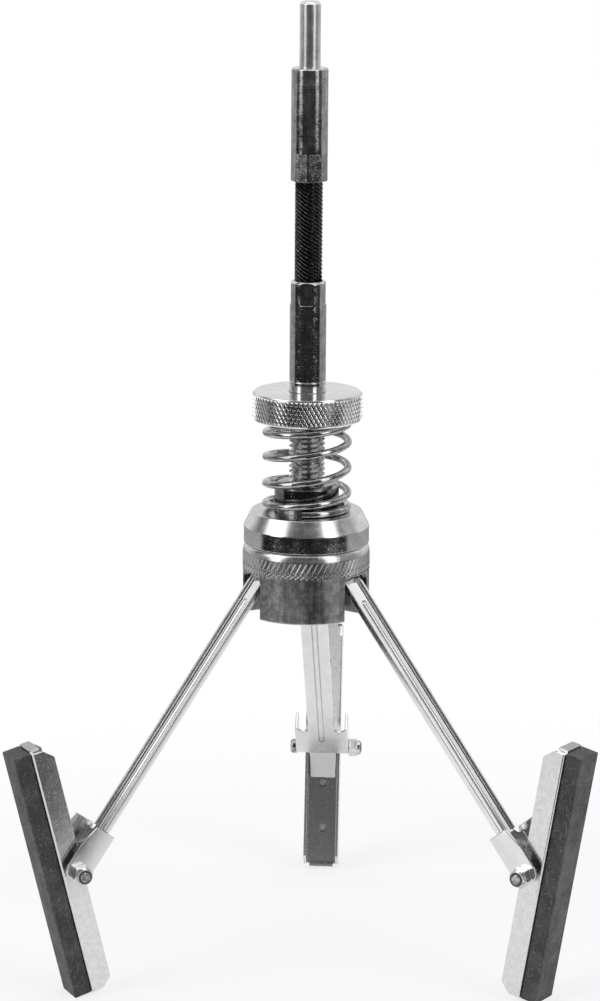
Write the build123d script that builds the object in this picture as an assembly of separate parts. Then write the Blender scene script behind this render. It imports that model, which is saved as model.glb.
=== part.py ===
from build123d import *
from math import cos, pi, radians, sin
import os

# Cylinder hone for a hand drill: three spring-loaded arms under a drive shank, each carrying an
# abrasive stone. Millimetres, +Z up. The origin is on the axis at the shoulder under the drive
# shank, where a chuck stops. The rear leg points along +Y.

# Drive shank and the sleeves at both ends of the flexible shaft
shank_d = 8.0
shank_len = 25.0
shank_chamfer = 1.0
sleeve_d = 14.0
upper_sleeve_len = 43.0
lower_sleeve_len = 43.0
sleeve_chamfer = 0.5
mouth_chamfer = 0.8
socket_depth = 18.0
socket_wall = 1.55
upper_crimp_len = 10.5
upper_crimp_depth = 0.42
upper_crimp_count = 8
upper_crimp_turn = -90.0
lower_crimp_len = 9.0
lower_crimp_depth = 0.5
lower_crimp_count = 4
lower_crimp_turn = -45.0
ring_line_w = 0.4
ring_line_depth = 0.2
ring_line_up = 3.8

# Flexible shaft: wire strands wound left-handed on a core
flex_len = 38.4
strand_count = 12
strand_d = 1.25
strand_lead = 18.5
strand_grip = 3.0
flex_play = 0.1
core_play = 0.05
core_end_gap = 0.5

# Threaded spindle, modelled at its major diameter
thread_d = 13.9
thread_play = 0.05
spindle_recess = 1.5
spindle_chamfer = 1.0

# Tension nut
nut_d = 42.7
nut_thick = 11.0
nut_chamfer = 0.8
nut_gap = 0.1

# Tension spring, right-handed with closed ends. It leans: its middle coils stand higher on +X
spring_od = 34.6
spring_wire = 2.9
spring_len = 35.9
spring_turns = 4.69
spring_closed_low = 0.59
spring_closed_high = 0.45
spring_lean = 0.74
spring_gap = 0.05
spring_start = 268.0
spring_ease = 0.2
spring_steps = 12

# Bevelled pressure cap and the guide bush through it
cap_d = 48.6
cap_top_d = 42.9
cap_band = 6.7
cap_bevel = 5.8
cap_edge = 0.4
bush_d = 25.0
bush_rise = 11.0
bush_chamfer = 1.2
bush_neck_d = 18.0
bush_play = 0.1
press_play = 0.02

# Hub with three slots for the arms
hub_d = 49.2
hub_len = 27.5
hub_gap = 0.3
hub_round = 1.8
hub_edge = 0.5
slot_w = 15.0
slot_top_down = 10.2
slot_corner = 3.2
slot_floor_r = 10.5
ring_wall = 2.3
plunger_play = 0.4
plunger_over = 1.0

# Cross pins in the hub, on which the arms swing
pin_d = 4.0
pin_len = 24.0
pin_in = 7.2
pin_down = 3.9
pin_play = 0.05
pin_end_gap = 0.1

# Arms, pressed from sheet. Places across the sheet are measured outwards from the line that
# joins the two pivots, and heights along the arm from the pivot named
arm_len = 141.3
arm_w = 10.9
sheet = 1.2
arm_web_in = 4.2
arm_rim = 2.4
bead_r = 1.2
bead_sheet = 1.0
bead_top_down = 20.0
bead_foot_up = 10.2
lug_r = 3.2
lug_run = 9.0
lever_up = 5.4
lever_gap = 0.15
yoke_w = 22.0
yoke_up = 18.4
yoke_down = 1.3
ear_out = 6.4
ear_top_out = 4.4
ear_slope = 9.0
ear_end = 4.0
ear_round = 3.8
ear_corner = 1.5
tongue_bend = 16.0
tongue_gap = 0.15
tongue_root = 0.6

# Pivot bolts with round heads and hexagon lock nuts
bolt_d = 4.0
bolt_play = 0.05
bolt_head_d = 6.0
bolt_head_h = 2.8
bolt_head_round = 1.2
nut_flats = 7.0
nut_hex_h = 3.4
nut_collar_h = 1.2
nut_collar_d = 6.2
nut_hex_chamfer = 0.4
nut_seat = 0.1
bolt_end = 0.6

# Stone holders, folded to a channel that opens inwards, with a lip across each end. Each hangs
# with its middle a little above its pivot
holder_len = 103.6
holder_w = 14.6
holder_out = 6.0
holder_in = 2.6
holder_chamfer_in = 4.0
holder_chamfer_up = 3.7
holder_bend = 0.9
lip_in = 4.0
lip_w = 10.0
holder_hole_d = 4.0
holder_hole_at = (16.0, 35.4)
holder_up = 0.6

# Stones
stone_len = 102.0
stone_w = 12.4
stone_thick = 7.1
stone_edge = 0.35

# How far a cut runs past the face it goes through
overcut = 1.0

# Where the three legs stand at rest: azimuth, spread of the arm from the axis, and the side of
# the arm that its lock nut is on
stop_angle = 49.6
legs = {
    "rear": (90.0, 38.5, -1),
    "left": (210.0, 35.7, 1),
    "right": (330.0, 39.6, -1),
}

# Levels and radii that follow from the sizes above
flex_top = -upper_sleeve_len
flex_bottom = flex_top - flex_len
sleeve_bottom = flex_bottom - lower_sleeve_len
nut_top = sleeve_bottom - nut_gap
nut_bottom = nut_top - nut_thick
cap_top = nut_bottom - spring_len
cap_shoulder = cap_top - cap_bevel
cap_bottom = cap_shoulder - cap_band
hub_top = cap_bottom - hub_gap
hub_bottom = hub_top - hub_len
slot_top = hub_top - slot_top_down
pin_r = hub_d / 2 - pin_in
pin_z = hub_top - pin_down
spindle_bottom = hub_bottom + spindle_recess
socket_r = sleeve_d / 2 - socket_wall
strand_r = socket_r - flex_play - strand_d / 2
core_r = strand_r - strand_d / 2 - core_play


def turned(points):
    """A solid of revolution about the axis from (radius, height) corners."""
    return revolve(Plane.XZ * make_face(Polyline(*points, close=True)), Axis.Z)


def round_bar(r, top, bottom):
    return Pos(0, 0, bottom) * Cylinder(r, top - bottom, align=(Align.CENTER, Align.CENTER, Align.MIN))


def rings_at(shape, z, r):
    """The circular edges of a turned shape at one height and radius."""
    edges = shape.edges().filter_by(GeomType.CIRCLE)
    return [e for e in edges if abs(e.center().Z - z) < 0.01 and abs(e.radius - r) < 0.01]


def crimped(sleeve, top, bottom, depth, count, turn):
    """Presses flats around the end of a sleeve where it grips the flexible shaft."""
    flat_r = sleeve_d / 2 - depth
    die = Pos(0, 0, bottom) * extrude(
        RegularPolygon(flat_r, count, major_radius=False, rotation=turn), top - bottom
    )
    waste = round_bar(sleeve_d, top, bottom) - die
    return sleeve - waste


def drive_shank():
    corner = sleeve_d / 2 - sleeve_chamfer
    body = turned(
        [
            (0, shank_len),
            (shank_d / 2 - shank_chamfer, shank_len),
            (shank_d / 2, shank_len - shank_chamfer),
            (shank_d / 2, 0),
            (corner, 0),
            (sleeve_d / 2, -sleeve_chamfer),
            (sleeve_d / 2, flex_top),
            (socket_r, flex_top),
            (socket_r, flex_top + socket_depth),
            (0, flex_top + socket_depth),
        ]
    )
    crimp_top = flex_top + upper_crimp_len
    return crimped(
        body, crimp_top, flex_top, upper_crimp_depth, upper_crimp_count, upper_crimp_turn
    )


def spindle():
    """Lower sleeve and threaded rod in one piece, with the ring line above the nut."""
    line_z = sleeve_bottom + ring_line_up
    body = turned(
        [
            (0, flex_bottom - socket_depth),
            (socket_r, flex_bottom - socket_depth),
            (socket_r, flex_bottom),
            (sleeve_d / 2 - mouth_chamfer, flex_bottom),
            (sleeve_d / 2, flex_bottom - mouth_chamfer),
            (sleeve_d / 2, line_z + ring_line_w),
            (sleeve_d / 2 - ring_line_depth, line_z + ring_line_w / 2),
            (sleeve_d / 2, line_z),
            (sleeve_d / 2, sleeve_bottom),
            (thread_d / 2, sleeve_bottom),
            (thread_d / 2, spindle_bottom + spindle_chamfer),
            (thread_d / 2 - spindle_chamfer, spindle_bottom),
            (0, spindle_bottom),
        ]
    )
    crimp_bottom = flex_bottom - lower_crimp_len
    return crimped(
        body, flex_bottom, crimp_bottom, lower_crimp_depth, lower_crimp_count, lower_crimp_turn
    )


def flex_core():
    inset = socket_depth - core_end_gap
    return round_bar(core_r, flex_top + inset, flex_bottom - inset)


def flex_winding():
    """Equal strands, wound side by side down to the right, and held in both sockets."""
    run = flex_len + 2 * strand_grip
    path = Helix(pitch=strand_lead, height=run, radius=strand_r, lefthand=True)
    wire = Plane(origin=path @ 0, z_dir=path % 0) * Circle(strand_d / 2)
    strand = Pos(0, 0, flex_bottom - strand_grip) * sweep(wire, path=path, is_frenet=True)
    step = 360 / strand_count
    return Compound([Rot(0, 0, i * step) * strand.solid() for i in range(strand_count)])


def tension_nut():
    r = nut_d / 2
    bore = thread_d / 2 + thread_play
    return turned(
        [
            (bore + nut_chamfer, nut_top),
            (r - nut_chamfer, nut_top),
            (r, nut_top - nut_chamfer),
            (r, nut_bottom + nut_chamfer),
            (r - nut_chamfer, nut_bottom),
            (bore + nut_chamfer, nut_bottom),
            (bore, nut_bottom + nut_chamfer),
            (bore, nut_top - nut_chamfer),
        ]
    )


def spring_height(turn):
    """Height of the wire's centre above the first coil: closed, open, then closed again."""
    rise = spring_len - 2 * spring_gap - spring_wire
    share = (turn - spring_closed_low) / (spring_turns - spring_closed_low - spring_closed_high)
    share = min(max(share, 0), 1)
    lean = spring_lean * cos(spring_angle(turn)) * sin(pi * share)
    return rise * (share - sin(2 * pi * share) / (2 * pi) * spring_ease) + lean


def spring_angle(turn):
    return radians(spring_start) + 2 * pi * turn


def tension_spring():
    r = (spring_od - spring_wire) / 2
    low = cap_top + spring_gap + spring_wire / 2
    steps = round(spring_turns * spring_steps)
    points = []
    for i in range(steps + 1):
        turn = spring_turns * i / steps
        angle = spring_angle(turn)
        points.append((r * cos(angle), r * sin(angle), low + spring_height(turn)))
    path = Spline(*points)
    wire = Plane(origin=path @ 0, z_dir=path % 0) * Circle(spring_wire / 2)
    return sweep(wire, path=path, is_frenet=True)


def pressure_cap():
    """Bevelled cap whose raised ring underneath presses on the arms' lever ends."""
    r = cap_d / 2
    top_r = cap_top_d / 2
    neck = bush_neck_d / 2 + press_play
    body = turned(
        [
            (neck, cap_top),
            (top_r, cap_top),
            (r, cap_shoulder),
            (r, cap_bottom),
            (plunger_r, cap_bottom),
            (plunger_r, plunger_z),
            (neck, plunger_z),
        ]
    )
    rims = rings_at(body, cap_top, top_r) + rings_at(body, cap_shoulder, r)
    rims += rings_at(body, cap_bottom, r)
    return fillet(rims, cap_edge)


def guide_bush():
    """Shouldered bush, pressed through the cap, that slides on the spindle inside the spring."""
    top = cap_top + bush_rise
    bore = thread_d / 2 + bush_play
    return turned(
        [
            (bore, top),
            (bush_d / 2 - bush_chamfer, top),
            (bush_d / 2, top - bush_chamfer),
            (bush_d / 2, cap_top),
            (bush_neck_d / 2, cap_top),
            (bush_neck_d / 2, plunger_z),
            (bore, plunger_z),
        ]
    )


def hub():
    """Turned from bar, with three parallel-sided slots that leave a ring around the top."""
    body = round_bar(hub_d / 2, hub_top, hub_bottom)
    body = fillet(rings_at(body, hub_top, hub_d / 2), hub_round)
    body = chamfer(rings_at(body, hub_bottom, hub_d / 2), hub_edge)
    body -= round_bar(plunger_r + plunger_play, hub_top, plunger_z - plunger_play)
    body -= round_bar(thread_d / 2 + thread_play, hub_top, hub_bottom)
    ring_r = hub_d / 2 - ring_wall
    for azimuth, _, _ in legs.values():
        body -= Rot(0, 0, azimuth) * hub_slot(ring_r)
        body -= Rot(0, 0, azimuth) * cross_pin(pin_d / 2 + press_play, pin_len + 2 * pin_end_gap)
    return body


def hub_slot(ring_r):
    """What one slot takes away: open to the outside below the ring, and closed by it above."""
    reach = hub_d - slot_floor_r
    low = hub_bottom - overcut
    high = hub_top + overcut
    mouth = Pos(slot_floor_r, 0, low) * Box(
        reach, slot_w, slot_top - low, align=(Align.MIN, Align.CENTER, Align.MIN)
    )
    upright = mouth.edges().filter_by(Axis.X).group_by(Axis.Z)[-1]
    mouth = fillet(upright, slot_corner)
    pocket = Pos(slot_floor_r, 0, low) * Box(
        reach, slot_w, high - low, align=(Align.MIN, Align.CENTER, Align.MIN)
    )
    return mouth + (pocket & round_bar(ring_r, high, low))


def cross_pin(r, length):
    """A bar across one slot, on the leg's own axes."""
    return Pos(pin_r, 0, pin_z) * Rot(90, 0, 0) * Cylinder(r, length)


def plate(outline, middle, thickness):
    """A flat plate across the arm, from (outwards, up) corners and where its middle lies."""
    face = Plane.XZ * make_face(Polyline(*outline, close=True))
    return Pos(0, middle, 0) * extrude(face, thickness / 2, both=True)


def bored(shape, at, r):
    """Drills a hole across the arm or holder."""
    return shape - Pos(at[0], 0, at[1]) * Rot(90, 0, 0) * Cylinder(r, 3 * yoke_w)


def arm_strip():
    """The channel-shaped strip between the pivots, with its bead."""
    inner = -arm_web_in
    foot = -arm_len + yoke_up
    height = lever_up - foot
    web = Pos(inner, 0, foot) * Box(
        sheet, arm_w, height, align=(Align.MIN, Align.CENTER, Align.MIN)
    )
    rim = Pos(inner, 0, foot) * Box(
        arm_rim, arm_w, -foot, align=(Align.MIN, Align.CENTER, Align.MIN)
    )
    gap = Pos(inner, 0, foot) * Box(
        arm_rim, arm_w - 2 * sheet, -foot, align=(Align.MIN, Align.CENTER, Align.MIN)
    )
    return web + (rim - gap)


def arm_lugs():
    """Two lugs, raised from the strip's rims, that hold the cross pin."""
    inner = -arm_web_in
    rim = inner + arm_rim
    middle = (arm_w - sheet) / 2
    outline = [(inner, lug_r), (0, lug_r), (0, -lug_r), (rim, -lug_run), (inner, -lug_run)]
    lugs = None
    for side in (-1, 1):
        lug = plate(outline, side * middle, sheet)
        lug += Pos(0, side * middle, 0) * Rot(90, 0, 0) * Cylinder(lug_r, sheet)
        lugs = lug if lugs is None else lugs + lug
    return lugs


def arm_yoke():
    """The wide foot: a web with two ears folded outwards around the holder."""
    inner = -arm_web_in
    foot = -arm_len
    half = yoke_w / 2
    web = Pos(inner, 0, foot + yoke_down) * Box(
        sheet, yoke_w, yoke_up - yoke_down, align=(Align.MIN, Align.CENTER, Align.MIN)
    )
    notch_r = (half - sheet - arm_w / 2) / 2
    notch_y = arm_w / 2 + notch_r
    ear_face = make_face(
        Polyline(
            (inner, foot + yoke_up),
            (ear_top_out, foot + yoke_up),
            (ear_out, foot + ear_slope),
            (ear_out, foot - ear_end),
            (inner + ear_end, foot - ear_end),
            (inner, foot + yoke_down),
            close=True,
        )
    )
    tip = ear_face.vertices().sort_by(Axis.Y)[:2].sort_by(Axis.X)
    ear_face = fillet(tip[1], ear_round)
    tip = ear_face.vertices().sort_by(Axis.Y)[:3].sort_by(Axis.X)
    ear_face = fillet(tip[0], ear_corner)
    shape = web
    for side in (-1, 1):
        notch = Rot(0, 90, 0) * Cylinder(notch_r, 3 * arm_web_in)
        shape -= Pos(0, side * notch_y, foot + yoke_up) * notch
        ear = extrude(Plane.XZ * ear_face, sheet / 2, both=True)
        shape += Pos(0, side * (half - sheet / 2), 0) * ear
    return shape


def tongue_length():
    """How far the tongue runs from the yoke's edge before it meets the holder's floor."""
    stop = radians(stop_angle)
    bend = radians(tongue_bend)
    floor = holder_out - sheet - tongue_gap
    start = -yoke_down * sin(stop) - (arm_web_in - sheet) * cos(stop)
    gain = cos(bend) * sin(stop) - sin(bend) * cos(stop)
    return (floor - start) / gain


def arm_tongue():
    """The bent tongue below the yoke, which stops the holder."""
    length = tongue_length()
    tongue = Box(sheet, arm_w, length + tongue_root, align=(Align.MAX, Align.CENTER, Align.MAX))
    corners = tongue.edges().filter_by(Axis.X).group_by(Axis.Z)[0]
    tongue = fillet(corners, sheet)
    hinge = Pos(sheet - arm_web_in, 0, yoke_down - arm_len)
    return hinge * Rot(0, tongue_bend, 0) * Pos(0, 0, tongue_root) * tongue


def arm():
    """One arm, with the line between its pivots upright and the hub's pin at the origin."""
    inner = -arm_web_in
    top = -bead_top_down
    bottom = -arm_len + bead_foot_up
    body = arm_strip() + arm_lugs() + arm_yoke() + arm_tongue()
    ridge = Pos(inner, 0, 0) * (bead_bar(bead_r + bead_sheet, top, bottom))
    keep = Pos(inner, 0, top) * Box(
        2 * arm_rim, arm_w, 3 * arm_len, align=(Align.MIN, Align.CENTER, Align.CENTER)
    )
    body += ridge & keep
    body -= Pos(inner, 0, 0) * bead_bar(bead_r, top, bottom)
    body = bored(body, (0, 0), pin_d / 2 + pin_play)
    return bored(body, (0, -arm_len), bolt_d / 2 + bolt_play)


def bead_bar(r, top, bottom):
    return round_bar(r, top, bottom) + Pos(0, 0, top) * Sphere(r) + Pos(0, 0, bottom) * Sphere(r)


def stone_holder():
    """Channel with chamfered flange ends, holes in its floor and a lip across each end."""
    half = holder_w / 2
    channel = Rectangle(holder_out + holder_in, holder_w, align=(Align.MAX, Align.CENTER))
    channel = Pos(holder_out, 0) * channel
    channel = fillet(channel.vertices().group_by(Axis.X)[-1], holder_bend)
    depth = holder_out + holder_in - sheet
    hollow = Rectangle(depth, holder_w - 2 * sheet, align=(Align.MAX, Align.CENTER))
    channel -= Pos(holder_out - sheet, 0) * hollow
    body = extrude(channel, holder_len / 2 - sheet, both=True)
    end = holder_len / 2 - sheet
    for side in (-1, 1):
        wedge = plate(
            [
                (-holder_in, side * end),
                (-holder_in, side * (end - holder_chamfer_up)),
                (-holder_in + holder_chamfer_in, side * end),
            ],
            0,
            2 * holder_w,
        )
        body -= wedge
        lip = Box(lip_in, lip_w, sheet, align=(Align.MAX, Align.CENTER, Align.CENTER))
        body += Pos(holder_out, 0, side * (end + sheet / 2)) * lip
        hole = Rot(0, 90, 0) * Cylinder(holder_hole_d / 2, 3 * sheet)
        for at in holder_hole_at:
            body -= Pos(holder_out, 0, side * at) * hole
    return bored(Pos(0, 0, holder_up) * body, (0, 0), bolt_d / 2 + bolt_play)


def stone():
    body = Pos(holder_out, 0, holder_up) * Box(
        stone_thick, stone_w, stone_len, align=(Align.MIN, Align.CENTER, Align.CENTER)
    )
    return chamfer(body.edges(), stone_edge)


def pivot_bolt():
    """Bolt along +Y with its round head at -Y."""
    head = -yoke_w / 2
    end = yoke_w / 2 + nut_seat + nut_hex_h + nut_collar_h + bolt_end
    pin = Rot(-90, 0, 0) * round_bar(bolt_d / 2, end, head)
    dome = round_bar(bolt_head_d / 2, 0, -bolt_head_h)
    dome = fillet(rings_at(dome, -bolt_head_h, bolt_head_d / 2), bolt_head_round)
    return pin + Pos(0, head, 0) * Rot(-90, 0, 0) * dome


def pivot_nut():
    """Hexagon lock nut with a round collar, on the bolt's +Y end."""
    seat = yoke_w / 2 + nut_seat
    corner = nut_flats / 2 / cos(radians(30))
    body = extrude(RegularPolygon(nut_flats / 2, 6, major_radius=False), nut_hex_h)
    body = body & turned(
        [
            (0, 0),
            (corner - nut_hex_chamfer, 0),
            (corner, nut_hex_chamfer),
            (corner, nut_hex_h - nut_hex_chamfer),
            (corner - nut_hex_chamfer, nut_hex_h),
            (0, nut_hex_h),
        ]
    )
    top = nut_hex_h + nut_collar_h
    body += round_bar(nut_collar_d / 2, top, nut_hex_h)
    body -= round_bar(bolt_d / 2 + press_play, top + overcut, -overcut)
    return Rot(-90, 0, 0) * Pos(0, 0, seat) * body


def placed(shape, azimuth, r, z, tilt, side=1):
    """Puts a shape modelled on a leg's own axes into the hone."""
    turn = Rot(0, 0, 0) if side > 0 else Rot(180, 0, 0)
    return Rot(0, 0, azimuth) * Pos(r, 0, z) * Rot(0, tilt, 0) * turn * shape


# The cap's ring stays just above the highest lever end: that of the arm with the least spread
lever_out = arm_web_in - sheet
lever_angles = [radians(spread) for _, spread, _ in legs.values()]
lever_tops = [lever_up * cos(a) - lever_out * sin(a) for a in lever_angles]
plunger_z = pin_z + max(lever_tops) + lever_gap
plunger_r = pin_r - lever_out + plunger_over

pieces = {
    "drive_shank": drive_shank(),
    "flex_core": flex_core(),
    "flex_winding": flex_winding(),
    "spindle": spindle(),
    "tension_nut": tension_nut(),
    "tension_spring": tension_spring(),
    "pressure_cap": pressure_cap(),
    "guide_bush": guide_bush(),
    "hub": hub(),
}
one_arm = arm()
one_pin = cross_pin(pin_d / 2, pin_len)
one_holder = stone_holder()
one_stone = stone()
one_bolt = pivot_bolt()
one_nut = pivot_nut()
for name, (azimuth, spread, nut_side) in legs.items():
    reach = pin_r + arm_len * sin(radians(spread))
    drop = pin_z - arm_len * cos(radians(spread))
    lean = stop_angle - spread
    print(name, "pivot bolt at radius", round(reach, 3), "height", round(drop, 3))
    pieces[f"arm_pin_{name}"] = Rot(0, 0, azimuth) * one_pin
    pieces[f"arm_{name}"] = placed(one_arm, azimuth, pin_r, pin_z, -spread)
    pieces[f"pivot_bolt_{name}"] = placed(one_bolt, azimuth, reach, drop, lean, nut_side)
    pieces[f"pivot_nut_{name}"] = placed(one_nut, azimuth, reach, drop, lean, nut_side)
    pieces[f"stone_holder_{name}"] = placed(one_holder, azimuth, reach, drop, lean)
    pieces[f"stone_{name}"] = placed(one_stone, azimuth, reach, drop, lean)

os.makedirs("parts", exist_ok=True)
for name, piece in pieces.items():
    export_step(piece, f"parts/{name}.step")
    print(name, round(piece.volume, 1))
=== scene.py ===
from math import atan, cos, pi, radians, sin

import bpy
from mathutils import Matrix, Vector


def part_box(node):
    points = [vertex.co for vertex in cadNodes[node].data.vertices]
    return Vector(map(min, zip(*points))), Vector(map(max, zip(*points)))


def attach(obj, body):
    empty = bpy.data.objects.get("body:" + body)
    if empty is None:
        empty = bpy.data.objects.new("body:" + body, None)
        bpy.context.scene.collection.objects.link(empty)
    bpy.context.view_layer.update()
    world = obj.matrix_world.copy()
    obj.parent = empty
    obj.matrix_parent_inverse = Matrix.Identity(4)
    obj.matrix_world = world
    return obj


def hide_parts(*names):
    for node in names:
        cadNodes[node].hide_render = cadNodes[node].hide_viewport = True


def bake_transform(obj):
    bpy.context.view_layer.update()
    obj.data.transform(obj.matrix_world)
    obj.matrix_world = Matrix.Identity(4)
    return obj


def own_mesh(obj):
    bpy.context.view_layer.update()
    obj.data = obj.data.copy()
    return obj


# Cylinder hone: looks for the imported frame. Metres, +Z up, camera on the -Y side. The sizes of the hone's
# parts are given in mm and degrees
mm = 0.001
weld = 0.002 * mm    # points closer than this are made one

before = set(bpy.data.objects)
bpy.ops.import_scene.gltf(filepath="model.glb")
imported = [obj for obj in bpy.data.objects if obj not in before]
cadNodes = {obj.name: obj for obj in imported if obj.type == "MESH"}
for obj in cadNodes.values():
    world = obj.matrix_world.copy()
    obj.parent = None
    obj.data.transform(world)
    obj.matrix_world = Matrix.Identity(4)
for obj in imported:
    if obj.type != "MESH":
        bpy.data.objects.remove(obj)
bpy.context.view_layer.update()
legs = ("rear", "left", "right")


# Helpers for modelling

def deselectAll():
    if bpy.context.object and bpy.context.object.mode != "OBJECT":
        bpy.ops.object.mode_set(mode="OBJECT")
    bpy.ops.object.select_all(action="DESELECT")


def activate(piece):
    deselectAll()
    piece.select_set(True)
    bpy.context.view_layer.objects.active = piece


def edit(piece, kind="VERT", select="SELECT"):
    activate(piece)
    bpy.ops.object.mode_set(mode="EDIT")
    bpy.ops.mesh.select_mode(type=kind)
    bpy.ops.mesh.select_all(action=select)


def pick(piece, kind, wanted):
    # selects the vertices or edges whose place and direction pass the test, and stays in edit mode
    edit(piece, kind, "DESELECT")
    bpy.ops.object.mode_set(mode="OBJECT")
    mesh = piece.data
    if kind == "VERT":
        for corner in mesh.vertices:
            corner.select = bool(wanted(corner.co, corner.normal))
    else:
        for line in mesh.edges:
            a, b = (mesh.vertices[i].co for i in line.vertices)
            line.select = bool(wanted((a + b) / 2, b - a))
    bpy.ops.object.mode_set(mode="EDIT")


def pickCorners(piece, chosen):
    # selects the vertices with these numbers, and stays in edit mode
    edit(piece, "VERT", "DESELECT")
    bpy.ops.object.mode_set(mode="OBJECT")
    for i in chosen:
        piece.data.vertices[i].select = True
    bpy.ops.object.mode_set(mode="EDIT")


def modify(piece, kind, **settings):
    activate(piece)
    modifier = piece.modifiers.new(kind.lower(), kind)
    for key, value in settings.items():
        setattr(modifier, key, value)
    bpy.ops.object.modifier_apply(modifier=modifier.name)


def merged(piece, outward=True):
    edit(piece)
    bpy.ops.mesh.remove_doubles(threshold=weld)
    if outward:
        bpy.ops.mesh.normals_make_consistent(inside=False)
    bpy.ops.object.mode_set(mode="OBJECT")


def smooth(piece, angle=32):
    activate(piece)
    bpy.ops.object.shade_smooth_by_angle(angle=radians(angle))


def rounded(piece, width, angle=30, segments=2, crease=None):
    # edges sharper than the angle get a small radius, and flat faces stay flat in the light. Bends that
    # pass the crease test stay crisp
    modify(piece, "BEVEL", width=width * mm, segments=segments, limit_method="ANGLE",
           angle_limit=radians(angle), use_clamp_overlap=False)
    smooth(piece, angle=60)
    if crease:
        pick(piece, "EDGE", crease)
        bpy.ops.mesh.mark_sharp()
        bpy.ops.object.mode_set(mode="OBJECT")
    modify(piece, "WEIGHTED_NORMAL", mode="FACE_AREA", weight=100, keep_sharp=True)


def startPoint(name, radius, height):
    # a piece that is one vertex beside the axis, in edit mode, ready to be drawn out
    deselectAll()
    bpy.ops.mesh.primitive_plane_add(size=mm, location=(0, 0, 0))
    piece = bpy.context.object
    piece.name = piece.data.name = name
    edit(piece)
    bpy.ops.mesh.merge(type="CENTER")
    bpy.ops.transform.translate(value=(radius * mm, 0, height * mm))
    return piece


def drawOut(across, along):
    bpy.ops.mesh.extrude_region_move(TRANSFORM_OT_translate={"value": (across * mm, 0, along * mm)})


def turned(name, outline, steps=96):
    # one vertex is drawn out along the outline, (radius, height) in mm, and spun about the axis
    piece = startPoint(name, *outline[0])
    for (r0, z0), (r1, z1) in zip(outline, outline[1:]):
        drawOut(r1 - r0, z1 - z0)
    bpy.ops.mesh.select_all(action="SELECT")
    bpy.ops.mesh.spin(steps=steps, angle=2 * pi, center=(0, 0, 0), axis=(0, 0, 1))
    merged(piece)
    return piece


def justAdded(name):
    # names the new primitive and works its place into its mesh
    piece = bpy.context.object
    piece.name = piece.data.name = name
    bpy.ops.object.transform_apply(location=True, rotation=True, scale=True)
    return piece


def cutAcross(piece, height, side):
    # cuts at a height and closes the end. Side 1 keeps what is above, and -1 what is below
    edit(piece)
    bpy.ops.mesh.bisect(plane_co=(0, 0, height * mm), plane_no=(0, 0, side), clear_inner=True,
                        use_fill=True)
    bpy.ops.object.mode_set(mode="OBJECT")


def copied(node, name, flatWithin=0.6):
    # a merged copy of a solid, with its flat faces whole again
    piece = bpy.data.objects.new(name, cadNodes[node].data.copy())
    piece.data.name = name
    bpy.context.scene.collection.objects.link(piece)
    piece.data.materials.clear()
    activate(piece)
    bpy.ops.mesh.customdata_custom_splitnormals_clear()
    merged(piece, outward=False)
    edit(piece)
    bpy.ops.mesh.dissolve_limited(angle_limit=radians(flatWithin))
    bpy.ops.object.mode_set(mode="OBJECT")
    return piece


def dressed(node, name, width=0.12, angle=30, segments=2):
    piece = copied(node, name)
    rounded(piece, width, angle, segments)
    return piece


def joined(parts, name):
    activate(parts[0])
    for part in parts:
        part.select_set(True)
    bpy.ops.object.join()
    parts[0].name = parts[0].data.name = name
    return parts[0]


def finished(piece, finish, body, *replaced):
    piece.data.materials.clear()
    piece.data.materials.append(finish)
    if replaced:
        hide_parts(*replaced)
    if body:
        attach(piece, body)
    return piece


def repainted(piece, finish, wanted, into=Matrix(), leastArea=0.0):
    # a further finish for the faces whose middle and direction pass the test, once moved by the matrix
    piece.data.materials.append(finish)
    slot = len(piece.data.materials) - 1
    turn = into.to_3x3()
    for face in piece.data.polygons:
        if face.area >= leastArea and wanted(into @ face.center, turn @ face.normal):
            face.material_index = slot


# Helpers for materials

class Wire:
    # a socket that takes part in shader maths
    def __init__(self, finish, socket):
        self.finish, self.socket = finish, socket

    def maths(self, operation, first, second=None):
        inputs = {0: first} if second is None else {0: first, 1: second}
        return self.finish.node("ShaderNodeMath", {"operation": operation}, inputs)

    def __add__(self, other):
        return self.maths("ADD", self, other)

    def __sub__(self, other):
        return self.maths("SUBTRACT", self, other)

    def __mul__(self, other):
        return self.maths("MULTIPLY", self, other)

    def __rsub__(self, other):
        return self.maths("SUBTRACT", other, self)

    def __abs__(self):
        return self.maths("ABSOLUTE", self)

    def __neg__(self):
        return self.maths("MULTIPLY", self, -1)

    __radd__, __rmul__ = __add__, __mul__

    def upTo(self, other):
        return self.maths("MINIMUM", self, other)

    def atLeast(self, other):
        return self.maths("MAXIMUM", self, other)

    def between(self, low, high, start=0.0, end=1.0):
        # an eased step from start to end as the value goes from low to high
        return self.finish.node("ShaderNodeMapRange", {"interpolation_type": "SMOOTHSTEP"},
                                {"Value": self, "From Min": low, "From Max": high,
                                 "To Min": start, "To Max": end})


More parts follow.
